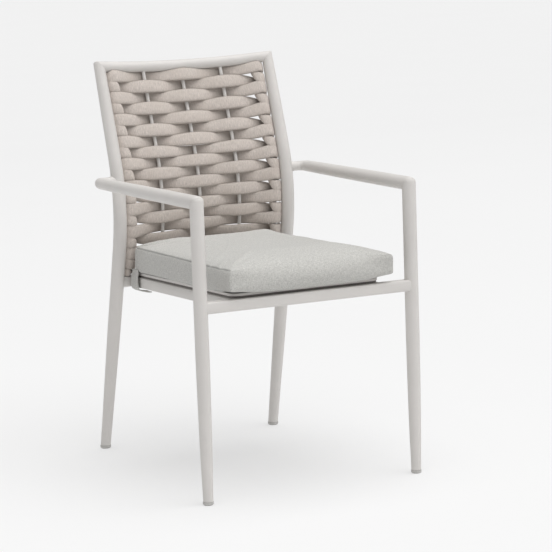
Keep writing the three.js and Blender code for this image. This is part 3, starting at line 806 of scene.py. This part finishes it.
def grid_sheet(obj, name):
    """A UV map in metres that follows the cloth: each face is laid flat from its own side."""
    mesh = obj.data
    layer = mesh.uv_layers.new(name=name)
    for face in mesh.polygons:
        normal = face.normal
        lying = abs(normal.z) > 0.6
        facing = abs(normal.y) > abs(normal.x)
        for loop in face.loop_indices:
            place = mesh.vertices[mesh.loops[loop].vertex_index].co
            if lying:
                layer.data[loop].uv = (place.x, place.y)
            elif facing:
                layer.data[loop].uv = (place.x, place.z)
            else:
                layer.data[loop].uv = (place.y, place.z)


# How far the front face lies back at even steps up the side and on over the crown
ROLL_SHARES = (0.15, 0.0, 0.0, 0.1, 0.5, 1.0, 0.9, 0.5, 0.0)
ROLL_DEPTH = 0.014
# How the front corners' shape fades out along the front edge and along the sides, and how far
FADE_ALONG, FADE_ALONG_REACH = (1.0, 1.0, 0.55, 0.15, 0.0), 0.07
FADE_BACK, FADE_BACK_REACH = (1.0, 0.8, 0.4, 0.1, 0.0), 0.075
CORNER_FLATTENING = 0.3
# Cloth this near to an upright edge is drawn out to it, and more so at the corners' four points
EDGE_REACH = 0.009
POINT_HEIGHTS = (0.004, CUSHION_SIDE + 0.005)
POINT_OUT, POINT_PULL, POINT_REACH = 0.001, 0.45, 0.013
# The side seams' first and last place along Y, how far in they lie and how many points they have
SEAM_FROM, SEAM_TO, SEAM_INSET, SEAM_POINTS = -0.02, 0.478, 0.004, 60
# The rear seam's half length, place and steps
REAR_SEAM_HALF, REAR_SEAM_Y, REAR_SEAM_STEPS = 0.172, 0.484, 40
# Seams are looked for from a height over the cushion and from one under it
LOOK_FROM_ABOVE, LOOK_FROM_BELOW = 0.6, 0.3
SEAM_POINT_GAP = 0.0005
# Cloth nearer to a seam than this doesn't move when the cushion is filled
SEWN_REACH = 0.005
FILLING_STEPS = 20
# Puckers beside a seam: height and reach, and how often they come across and up
PUCKER, PUCKER_REACH, PUCKER_SCALE, PUCKER_RISE = 0.0007, 0.014, 60, 25
# The cover's soft waves: height and scale of each
COVER_WAVES = ((0.0011, 13), (0.0005, 34))
# Width of the painted shade along a seam groove
SEAM_SHADOW = 0.0017


def cushion_half(y):
    """Half the cushion's width at a place along Y."""
    share = (y - CUSHION_FRONT) / CUSHION_DEPTH
    return CUSHION_FRONT_HALF + (CUSHION_REAR_HALF - CUSHION_FRONT_HALF) * share


def seam_paths(surface):
    """The seams of the cover, as lists of points on the cushion's surface."""

    def from_above(x, y):
        return surface.ray_cast(Vector((x, y + FRONT_Y, LOOK_FROM_ABOVE)), Vector((0, 0, -1)))[0]

    def from_below(x, y):
        return surface.ray_cast(Vector((x, y + FRONT_Y, LOOK_FROM_BELOW)), Vector((0, 0, 1)))[0]

    paths = []
    for side in (-1, 1):
        top, bottom = [], []
        for i in range(SEAM_POINTS):
            y = SEAM_FROM + (SEAM_TO - SEAM_FROM) * i / (SEAM_POINTS - 1)
            x = side * (cushion_half(y) - SEAM_INSET)
            high, low = from_above(x, y), from_below(x, y)
            if high and low:
                top.append(high)
                bottom.append(low)
        paths += [top, bottom, [top[0], bottom[0]], [top[-1], bottom[-1]]]
    rear = [
        from_above(-REAR_SEAM_HALF + 2 * REAR_SEAM_HALF * i / REAR_SEAM_STEPS, REAR_SEAM_Y)
        for i in range(REAR_SEAM_STEPS + 1)
    ]
    paths.append([point for point in rear if point])
    return paths


def seam_tree(paths):
    """The seams as closely spaced points that can be searched quickly."""
    points = []
    for path in paths:
        for start, end in zip(path, path[1:]):
            steps = max(1, math.ceil((end - start).length / SEAM_POINT_GAP))
            points += [start.lerp(end, i / steps) for i in range(steps + 1)]
    tree = KDTree(len(points))
    for i, point in enumerate(points):
        tree.insert(point, i)
    tree.balance()
    return tree


def square_corners(obj, push):
    """Draws the two front corners out to the upright seams, where the boxed cover is sewn."""
    for vertex in obj.data.vertices:
        place = vertex.co
        y = place.y - FRONT_Y
        back = y - CUSHION_FRONT
        side_height = CUSHION_SIDE + CUSHION_SIDE_GAIN * back / CUSHION_DEPTH
        height = place.z - (CUSHION_BOTTOM - SEAT_SLOPE * y)
        level = height / side_height
        if level > 1:
            level = 1 + (height - side_height) / CUSHION_CROWN
        beside = eased(FADE_ALONG, (cushion_half(y) - abs(place.x)) / FADE_ALONG_REACH)
        corner = beside * eased(FADE_BACK, back / FADE_BACK_REACH)
        place.y -= ROLL_DEPTH * eased(ROLL_SHARES, level / 2) * corner
        if level > 1:
            place.z -= (height - side_height) * CORNER_FLATTENING * corner
        away = math.hypot(cushion_half(y) - abs(place.x), back)
        draw = push * math.exp(-((away / EDGE_REACH) ** 2))
        place.x += math.copysign(draw, place.x)
        place.y -= draw
        for up in POINT_HEIGHTS:
            point = Vector((math.copysign(CUSHION_FRONT_HALF + POINT_OUT, place.x),
                            FRONT_Y + CUSHION_FRONT - POINT_OUT, CUSHION_BOTTOM + up))
            pull = POINT_PULL * math.exp(-(((point - place).length / POINT_REACH) ** 2))
            vertex.co = vertex.co.lerp(point, pull)


def stuff_cushion(obj, cushion):
    """Fills the cover: cloth under pressure, held at its sewn edges, capped in how far it moves."""
    start = [vertex.co.copy() for vertex in obj.data.vertices]
    held = obj.vertex_groups.new(name="sewn")
    surface = BVHTree.FromObject(obj, bpy.context.evaluated_depsgraph_get())
    seams = seam_tree(seam_paths(surface))
    for vertex in obj.data.vertices:
        if seams.find(vertex.co)[2] < SEWN_REACH:
            held.add([vertex.index], 1.0, "REPLACE")
    make_active(obj)
    bpy.ops.object.modifier_add(type="CLOTH")
    cloth = obj.modifiers[-1]
    cloth.settings.quality = 4
    cloth.settings.mass = 0.25
    cloth.settings.tension_stiffness = 12
    cloth.settings.compression_stiffness = 12
    cloth.settings.bending_stiffness = 0.4
    cloth.settings.use_pressure = True
    cloth.settings.uniform_pressure_force = cushion.pressure
    cloth.settings.effector_weights.gravity = 0
    cloth.settings.vertex_group_mass = "sewn"
    cloth.settings.pin_stiffness = 1.0
    cloth.collision_settings.use_collision = False
    cloth.collision_settings.use_self_collision = False
    cloth.point_cache.frame_start = 1
    cloth.point_cache.frame_end = FILLING_STEPS
    for step in range(1, FILLING_STEPS + 1):
        bpy.context.scene.frame_set(step)
    bpy.ops.object.modifier_apply(modifier=cloth.name)
    bpy.context.scene.frame_set(1)
    for vertex, place in zip(obj.data.vertices, start):
        move = vertex.co - place
        if move.length > cushion.swell:
            vertex.co = place + move.normalized() * cushion.swell


def soften(obj, rounds):
    """Smooths the cover a little, so many times over."""
    make_active(obj)
    bpy.ops.object.modifier_add(type="SMOOTH")
    obj.modifiers[-1].factor = 0.5
    obj.modifiers[-1].iterations = rounds
    bpy.ops.object.modifier_apply(modifier=obj.modifiers[-1].name)


def sew_cushion(obj, cushion):
    """Seam grooves and the small puckers beside them, pressed into the finished cover, and the
    painted shade along the seams.
    """
    surface = BVHTree.FromObject(obj, bpy.context.evaluated_depsgraph_get())
    seams = seam_tree(seam_paths(surface))
    mesh = obj.data
    normals = [vertex.normal.copy() for vertex in mesh.vertices]
    seam_shades = []
    for vertex, normal in zip(mesh.vertices, normals):
        away = seams.find(vertex.co)[2]
        groove = math.exp(-((away / (cushion.seam_width / 2)) ** 2))
        place = vertex.co
        ripple = noise.noise(Vector((
            place.x * PUCKER_SCALE, place.y * PUCKER_SCALE, place.z * PUCKER_RISE)))
        pucker = PUCKER * math.exp(-away / PUCKER_REACH) * ripple
        wave = sum(rise * noise.noise(place * scale) for rise, scale in COVER_WAVES)
        vertex.co = place + normal * (pucker + wave - cushion.seam_depth * groove)
        # Painted shade along the seam, kept for the cloth's colour
        seam_shades.append(math.exp(-((away / SEAM_SHADOW) ** 2)))
    seam = mesh.attributes.new(name="seam", type="FLOAT", domain="POINT")
    seam.data.foreach_set("value", seam_shades)


# ---- the ties

TIE_STRIPS = 8
# The band's edges before and behind its place, how much each spreads on the way down, and how
# the tail tapers from a share of the way on
TIE_BEFORE, TIE_BEHIND = 0.019, 0.01
TIE_SPREAD_BEFORE, TIE_SPREAD_BEHIND = 0.003, 0.008
TIE_TAIL_FROM, TIE_TAPER = 0.7, 0.02
TIE_RUCK = 0.0009


def tie_path(tie_y):
    """Centre line of the tie on the +X side, from the cushion round under the side rail."""
    outer = SIDE_RAIL_X + SIDE_RAIL_WIDTH / 2 + 0.0022
    sewn = cushion_half(tie_y) + 0.0013
    low = SEAT_TOP - RAIL_HEIGHT - 0.0062
    points = [
        (sewn, CUSHION_BOTTOM + 0.0085), (sewn - 0.0004, CUSHION_BOTTOM + 0.001),
        (outer + 0.0035, SEAT_TOP + 0.0015), (outer + 0.0045, SEAT_TOP - 0.006),
        (outer + 0.0045, SEAT_TOP - 0.014), (outer + 0.0035, SEAT_TOP - 0.021),
        (outer + 0.0008, low + 0.004), (outer - 0.0045, low + 0.0014),
        (outer - 0.012, low - 0.0012), (outer - 0.021, low - 0.0036), (outer - 0.03, low - 0.0045),
    ]
    return [Vector((x, 0, z)) for x, z in points]


def smooth_path(points, steps):
    """Points on a soft curve through the given ones."""
    padded = [points[0] * 2 - points[1], *points, points[-1] * 2 - points[-2]]
    found = []
    for i in range(1, len(padded) - 2):
        a, b, c, d = padded[i - 1:i + 3]
        for j in range(steps):
            t = j / steps
            found.append(0.5 * (
                2 * b + (c - a) * t + (2 * a - 5 * b + 4 * c - d) * t**2
                + (3 * b - a - 3 * c + d) * t**3
            ))
    return [*found, points[-1]]


def make_tie(side, name, ties):
    """A folded cloth band, gathered at the cushion and spreading round the rail."""
    path = smooth_path(tie_path(ties.place), 4)
    fall = SEAT_SLOPE * ties.place
    form = bmesh.new()
    rows = []
    for i, point in enumerate(path):
        share = i / (len(path) - 1)
        taper = TIE_TAPER * max(0, share - TIE_TAIL_FROM)
        front = ties.place - TIE_BEFORE - TIE_SPREAD_BEFORE * min(1, share * 3) + taper
        rear = ties.place + TIE_BEHIND + TIE_SPREAD_BEHIND * min(1, share * 2.2) - taper
        along = (path[min(i + 1, len(path) - 1)] - path[max(i - 1, 0)]).normalized()
        outward = Vector((-along.z, 0, along.x))
        row = []
        for j in range(TIE_STRIPS + 1):
            across = j / TIE_STRIPS
            y = front + (rear - front) * across
            ruck = TIE_RUCK * math.sin(across * 7.0 + share * 5.0) * (1 - 0.5 * share)
            spot = point + outward * ruck
            row.append(form.verts.new((side * spot.x, y + FRONT_Y, spot.z - fall)))
        rows.append(row)
    for upper, lower in zip(rows, rows[1:]):
        for j in range(TIE_STRIPS):
            face = form.faces.new((upper[j], upper[j + 1], lower[j + 1], lower[j]))
            face.smooth = True
    mesh = bpy.data.meshes.new(name)
    form.to_mesh(mesh)
    form.free()
    obj = link_piece(name, mesh)
    obj.modifiers.new("folded", "SOLIDIFY")
    obj.modifiers[-1].thickness = ties.thickness
    obj.modifiers[-1].offset = 0
    apply_modifiers(obj)
    turn_outwards()
    grid_sheet(obj, "weave")
    length = sum((b - a).length for a, b in zip(path, path[1:]))
    return obj, length


# ---- welds

# The front rail is a little slimmer than its outline, so that it runs into the round legs
RAIL_SLIMMING = 0.96
# A weld starts this far off the leg, a little inside the rail
WELD_START = 0.0052
WELD_INSET = 0.0003
WELD_CORNER = 0.0041
WELD_SLICE = 0.0008
WELD_CREASE_ANGLE = math.radians(40)
# Each step of a weld: how far it runs out on the leg, its growth in height and in depth
WELD_STEPS = (
    (0.0022, 1.03, 1.018), (0.0017, 1.045, 1.01), (0.0014, 1.07, 1.01), (0.0012, 1.06, 1.01),
    (0.003, 1.02, 1.02), (0.003, 1.0, 1.03), (0.003, 0.98, 1.035), (0.003, 0.95, 1.036),
    (0.002, 0.93, 0.993),
)


def rail_weld(side, name):
    """The fillet where the front rail runs into a front leg."""
    deselect_all()
    centre_z = SEAT_TOP - RAIL_HEIGHT / 2
    near = LEG_X - LEG_RADIUS - WELD_START
    bpy.ops.mesh.primitive_cube_add(
        size=1, location=(side * near, FRONT_Y, centre_z),
        scale=(WELD_SLICE, FRONT_RAIL_DEPTH * RAIL_SLIMMING - WELD_INSET,
               RAIL_HEIGHT - WELD_INSET))
    obj = bpy.context.active_object
    obj.name = name
    settle_at_origin(obj)
    bpy.ops.object.mode_set(mode="EDIT")
    select_where(
        obj, "edges", lambda e: abs((e.verts[0].co - e.verts[1].co).x) > WELD_SLICE / 2)
    bpy.ops.mesh.bevel(offset=WELD_CORNER, segments=4)
    for run, grow, deepen in WELD_STEPS:
        edge = max(side * v.co.x for v in bmesh.from_edit_mesh(obj.data).verts)
        select_where(obj, "faces", lambda f: side * f.normal.x > 0.9
                     and side * f.calc_center_median().x > edge - 0.0001)
        bpy.ops.mesh.extrude_region_move(TRANSFORM_OT_translate={"value": (side * run, 0, 0)})
        bpy.ops.transform.resize(
            value=(1, deepen, grow), center_override=(0, FRONT_Y, centre_z))
    turn_outwards()
    bpy.ops.object.shade_smooth_by_angle(angle=WELD_CREASE_ANGLE)
    return obj


# ---- operators

# Edges sharper than these stay sharp on the tubes, and on the slim rods
CREASE_ANGLE = math.radians(38)
ROD_CREASE_ANGLE = math.radians(75)
# What is coated: nodes whose names start like this
COATED = (
    "front_leg", "rear_leg", "arm_", "top_rail", "back_rod", "front_rail", "rear_rail",
    "side_rail", "seat_panel",
)
# How far the cushion's front corners are drawn out
CORNER_PUSH = 0.002
FLOOR_SIZE = 240
# The camera's yaw, pitch and roll in degrees, and its place
CAMERA_ANGLES = (26.459, 8.568, -2.0007)
CAMERA_PLACE = (-2.19103, -4.25613 + FRONT_Y, 1.17204)


class ARMCHAIR_OT_painted_frame(bpy.types.Operator):
    """Smooths and paints the tubes, rails, rods and the seat panel"""

    bl_idname = "armchair.painted_frame"
    bl_label = "Painted Frame"

    def execute(self, context):
        paint = material_for("frame_paint")
        for node in [name for name in NODES if name.startswith(COATED)]:
            tube = merged_copy(node, f"{node}_coated")
            if node == "front_rail":
                for vertex in tube.data.vertices:
                    vertex.co.y = FRONT_Y + (vertex.co.y - FRONT_Y) * RAIL_SLIMMING
            slim = node.startswith("back_rod")
            bpy.ops.object.shade_smooth_by_angle(angle=ROD_CREASE_ANGLE if slim else CREASE_ANGLE)
            finish_piece(tube, "frame", "frame_paint", paint, node)
        for side, word in ((-1, "left"), (1, "right")):
            weld = rail_weld(side, f"front_rail_weld_{word}")
            finish_piece(weld, "frame", "frame_paint", paint)
        return {"FINISHED"}


class ARMCHAIR_OT_edging_and_feet(bpy.types.Operator):
    """Gives the edging strip and the plastic feet their finishes"""

    bl_idname = "armchair.edging_and_feet"
    bl_label = "Edging and Feet"

    def execute(self, context):
        paint_piece(NODES["seat_edging"], material_for("dark_rubber"))
        for node in NODES:
            if "glide" in node:
                foot = merged_copy(node, f"{node}_moulded")
                bpy.ops.object.shade_smooth_by_angle(angle=CREASE_ANGLE)
                finish_piece(foot, "frame", "glide_plastic", material_for("glide_plastic"), node)
        return {"FINISHED"}


class ARMCHAIR_OT_woven_strap(bpy.types.Operator):
    """Weaves the padded strap round the rods"""

    bl_idname = "armchair.woven_strap"
    bl_label = "Woven Strap"

    def execute(self, context):
        strap = lay_strap(StrapRoute(context.scene.armchair_strap))
        finish_piece(strap, "frame", "strap_cloth", material_for("strap_cloth"), "woven_strap")
        return {"FINISHED"}


class ARMCHAIR_OT_seat_cushion(bpy.types.Operator):
    """Fills and sews the seat cushion"""

    bl_idname = "armchair.seat_cushion"
    bl_label = "Seat Cushion"

    def execute(self, context):
        cushion = context.scene.armchair_cushion
        pad = merged_copy("seat_cushion", "seat_cushion_filled")
        bpy.ops.object.modifier_add(type="REMESH")
        pad.modifiers[-1].mode = "VOXEL"
        pad.modifiers[-1].voxel_size = cushion.voxel
        apply_modifiers(pad)
        soften(pad, 2)
        square_corners(pad, CORNER_PUSH)
        stuff_cushion(pad, cushion)
        soften(pad, 1)
        pad.modifiers.new("fine", "SUBSURF")
        pad.modifiers[-1].levels = pad.modifiers[-1].render_levels = 1
        apply_modifiers(pad)
        sew_cushion(pad, cushion)
        grid_sheet(pad, "weave")
        bpy.ops.object.shade_smooth()
        finish_piece(pad, "cushion", "cushion_cloth", material_for("cushion_cloth"), "seat_cushion")
        return {"FINISHED"}


class ARMCHAIR_OT_cushion_ties(bpy.types.Operator):
    """Folds the two ties round the side rails"""

    bl_idname = "armchair.cushion_ties"
    bl_label = "Cushion Ties"

    def execute(self, context):
        ties = context.scene.armchair_ties
        for side, word in ((-1, "left"), (1, "right")):
            tie, length = make_tie(side, f"cushion_tie_{word}_cloth", ties)
            finish_piece(tie, "cushion", "cushion_cloth", material_for("cushion_cloth"),
                         f"cushion_tie_{word}")
        return {"FINISHED"}


class ARMCHAIR_OT_studio(bpy.types.Operator):
    """Sets the pale floor, the soft lights and the camera"""

    bl_idname = "armchair.studio"
    bl_label = "Studio"

    def execute(self, context):
        studio = context.scene.armchair_studio
        deselect_all()
        bpy.ops.mesh.primitive_plane_add(size=FLOOR_SIZE, location=(0, 0, 0))
        floor = context.active_object
        floor.name = "studio_floor"
        paint_piece(floor, floor_paper())

        context.scene.view_settings.view_transform = "Standard"
        world = bpy.data.worlds.new("white_room")
        context.scene.world = world
        world.use_nodes = True
        room = world.node_tree.nodes["Background"]
        room.inputs["Color"].default_value = (1.0, 1.0, 1.0, 1)
        room.inputs["Strength"].default_value = studio.surround
        for name, towards, strength, softness in (
            ("ceiling", (0.12, -0.24, 1.0), studio.key_strength, 75),
            ("front", (0.9, -0.8, 0.3), studio.key_strength * 0.08, 40),
        ):
            light = bpy.data.lights.new(name, "SUN")
            light.energy = strength
            light.angle = math.radians(softness)
            lamp = bpy.data.objects.new(name, light)
            context.scene.collection.objects.link(lamp)
            lamp.rotation_euler = Vector(towards).to_track_quat("Z", "Y").to_euler()

        camera = bpy.data.cameras.new("camera")
        camera.lens = studio.lens
        camera.sensor_width = 36
        camera.clip_end = 200
        stand = bpy.data.objects.new("camera", camera)
        context.scene.collection.objects.link(stand)
        yaw, pitch, roll = (math.radians(angle) for angle in CAMERA_ANGLES)
        turn = (
            Matrix.Rotation(-yaw, 3, "Z")
            @ Matrix.Rotation(math.pi / 2 - pitch, 3, "X")
            @ Matrix.Rotation(roll, 3, "Z")
        )
        stand.rotation_euler = turn.to_euler()
        stand.location = CAMERA_PLACE
        context.scene.camera = stand
        return {"FINISHED"}


class ARMCHAIR_PT_panel(bpy.types.Panel):
    """Lists the pieces of the armchair with their sizes and colours"""

    bl_idname = "ARMCHAIR_PT_panel"
    bl_label = "Armchair"
    bl_space_type = "VIEW_3D"
    bl_region_type = "UI"
    bl_category = "Armchair"

    def draw(self, context):
        scene = context.scene
        for group in ("finishes", "strap", "cushion", "ties", "studio"):
            box = self.layout.box()
            box.label(text=group.title())
            values = getattr(scene, f"armchair_{group}")
            for prop in values.bl_rna.properties:
                if prop.identifier not in ("rna_type", "name"):
                    box.prop(values, prop.identifier)
        for operator in OPERATORS:
            self.layout.operator(operator.bl_idname)


GROUPS = (
    ("armchair_finishes", ArmchairFinishes),
    ("armchair_strap", ArmchairStrap),
    ("armchair_cushion", ArmchairCushion),
    ("armchair_ties", ArmchairTies),
    ("armchair_studio", ArmchairStudio),
)
OPERATORS = (
    ARMCHAIR_OT_painted_frame,
    ARMCHAIR_OT_edging_and_feet,
    ARMCHAIR_OT_woven_strap,
    ARMCHAIR_OT_seat_cushion,
    ARMCHAIR_OT_cushion_ties,
    ARMCHAIR_OT_studio,
)


def register():
    for name, group in GROUPS:
        bpy.utils.register_class(group)
        setattr(bpy.types.Scene, name, PointerProperty(type=group))
    for item in (*OPERATORS, ARMCHAIR_PT_panel):
        bpy.utils.register_class(item)


def unregister():
    for item in (ARMCHAIR_PT_panel, *reversed(OPERATORS)):
        bpy.utils.unregister_class(item)
    for name, group in reversed(GROUPS):
        delattr(bpy.types.Scene, name)
        bpy.utils.unregister_class(group)


def main():
    register()
    bpy.ops.armchair.painted_frame()
    bpy.ops.armchair.edging_and_feet()
    bpy.ops.armchair.woven_strap()
    bpy.ops.armchair.seat_cushion()
    bpy.ops.armchair.cushion_ties()
    bpy.ops.armchair.studio()


if __name__ == "__main__":
    main()
